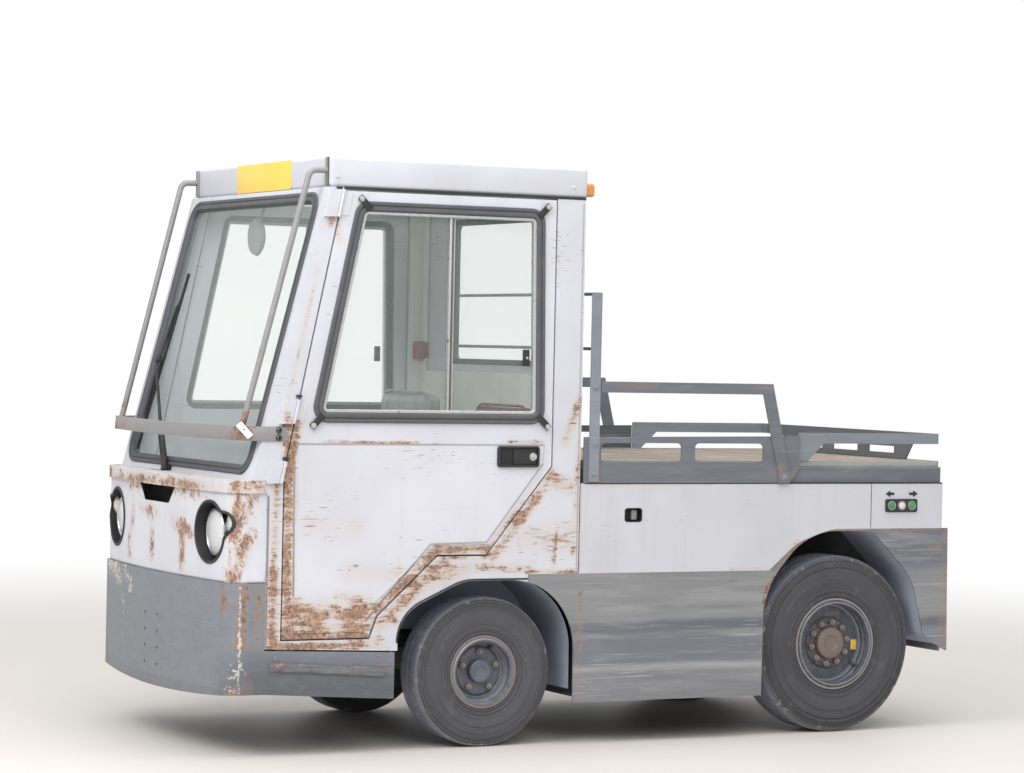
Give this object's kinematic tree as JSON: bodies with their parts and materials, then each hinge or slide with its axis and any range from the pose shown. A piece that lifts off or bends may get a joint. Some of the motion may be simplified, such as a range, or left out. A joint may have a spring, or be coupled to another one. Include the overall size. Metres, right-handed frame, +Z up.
{
  "type": "airport baggage tug",
  "caption": "Battery tow tractor with an enclosed two-seat cab, hinged doors, steered front wheels and a railed load deck.",
  "frame": {"origin": "on the ground under the middle of the tug's length and width", "axes": "+Z up, the front faces -Y, the tug's left side is +X"},
  "size_m": [1.334, 3.085, 2.094],
  "materials": {
    "body_paint": "worn satin light grey",
    "skirt_paint": "scuffed satin blue-grey",
    "deck_paint": "satin blue-grey",
    "rail_paint": "worn satin blue-grey with rust",
    "frame_paint": "dull black",
    "battery_case": "dull",
    "lamp_pod": "matte",
    "gasket_rubber": "matte",
    "window_glass": "clear with a green tint",
    "black_trim": "matte",
    "interior_grey": "matte",
    "seat_vinyl": "satin",
    "cast_steel": "rough",
    "bare_steel": "bright",
    "deck_wood": "weathered",
    "lamp_lens": "gloss",
    "rim_paint": "dusty",
    "tyre_rubber": "dusty"
  },
  "bodies": {
    "root": {"chassis": "frame_paint", "battery": "battery_case", "front_bumper": "skirt_paint", "nose_panel": "body_paint", "headlamps": "lamp_pod", "cowl": "body_paint", "cab_shell": "body_paint", "cab_seals": "gasket_rubber", "cab_glass": "window_glass", "roof": "body_paint", "windscreen_guard": "rail_paint", "wipers": "black_trim", "cab_floor": "interior_grey", "dashboard": "interior_grey", "seat_bases": "frame_paint", "seat_cushions": "seat_vinyl", "seat_backs": "seat_vinyl", "side_panels": "body_paint", "side_skirts": "skirt_paint", "rear_panel": "body_paint", "rear_bumper": "skirt_paint", "tow_coupling": "cast_steel", "tow_pin": "bare_steel", "deck_frame": "deck_paint", "deck_planks": "deck_wood", "side_boards": "rail_paint", "headboard": "rail_paint", "rear_rail": "rail_paint", "lamps": "lamp_lens", "wheel_housings": "frame_paint", "front_axle": "frame_paint", "drive_axle": "frame_paint"},
    "steering_wheel": {"steering_wheel": "interior_grey"},
    "door_left": {"door_left_shell": "body_paint", "door_left_seal": "gasket_rubber", "door_left_glass": "window_glass", "door_left_latch": "black_trim"},
    "door_right": {"door_right_shell": "body_paint", "door_right_seal": "gasket_rubber", "door_right_glass": "window_glass", "door_right_latch": "black_trim"},
    "knuckle_left": {"knuckle_left": "cast_steel"},
    "knuckle_right": {"knuckle_right": "cast_steel"},
    "front_left_wheel": {"front_left_rim": "rim_paint", "front_left_tyre": "tyre_rubber"},
    "front_right_wheel": {"front_right_rim": "rim_paint", "front_right_tyre": "tyre_rubber"},
    "rear_left_wheel": {"rear_left_rim": "rim_paint", "rear_left_tyre": "tyre_rubber"},
    "rear_right_wheel": {"rear_right_rim": "rim_paint", "rear_right_tyre": "tyre_rubber"}
  },
  "joints": [
    {"name": "steer_left", "type": "hinge", "parent": "root", "child": "knuckle_left", "pos_m": [0.43, -0.4955, 0.27], "axis": [0, 0, 1], "range_deg": [-35, 35]},
    {"name": "steer_right", "type": "hinge", "parent": "root", "child": "knuckle_right", "pos_m": [-0.43, -0.4955, 0.27], "axis": [0, 0, 1], "range_deg": [-35, 35]},
    {"name": "steering_wheel_turn", "type": "hinge", "parent": "root", "child": "steering_wheel", "pos_m": [0.3, -1.0155, 1.06], "axis": [0, 0.5299, 0.848], "range_deg": [-490, 490]},
    {"name": "front_left_spin", "type": "hinge", "parent": "knuckle_left", "child": "front_left_wheel", "pos_m": [0.531, -0.4955, 0.27], "axis": [1, 0, 0], "continuous": true},
    {"name": "front_right_spin", "type": "hinge", "parent": "knuckle_right", "child": "front_right_wheel", "pos_m": [-0.531, -0.4955, 0.27], "axis": [1, 0, 0], "continuous": true},
    {"name": "rear_left_spin", "type": "hinge", "parent": "root", "child": "rear_left_wheel", "pos_m": [0.528, 0.9935, 0.336], "axis": [1, 0, 0], "continuous": true},
    {"name": "rear_right_spin", "type": "hinge", "parent": "root", "child": "rear_right_wheel", "pos_m": [-0.528, 0.9935, 0.336], "axis": [1, 0, 0], "continuous": true},
    {"name": "door_left_hinge", "type": "hinge", "parent": "root", "child": "door_left", "pos_m": [0.659, -1.26974, 1.2], "axis": [0, -0.2065, -0.9785], "range_deg": [0, 85]},
    {"name": "door_right_hinge", "type": "hinge", "parent": "root", "child": "door_right", "pos_m": [-0.659, -1.26974, 1.2], "axis": [0, 0.2065, 0.9785], "range_deg": [0, 85]}
  ],
  "couplings": [
    {"joint": "steer_right", "follows": "steer_left", "ratio": 1},
    {"joint": "steering_wheel_turn", "follows": "steer_left", "ratio": 14}
  ]
}
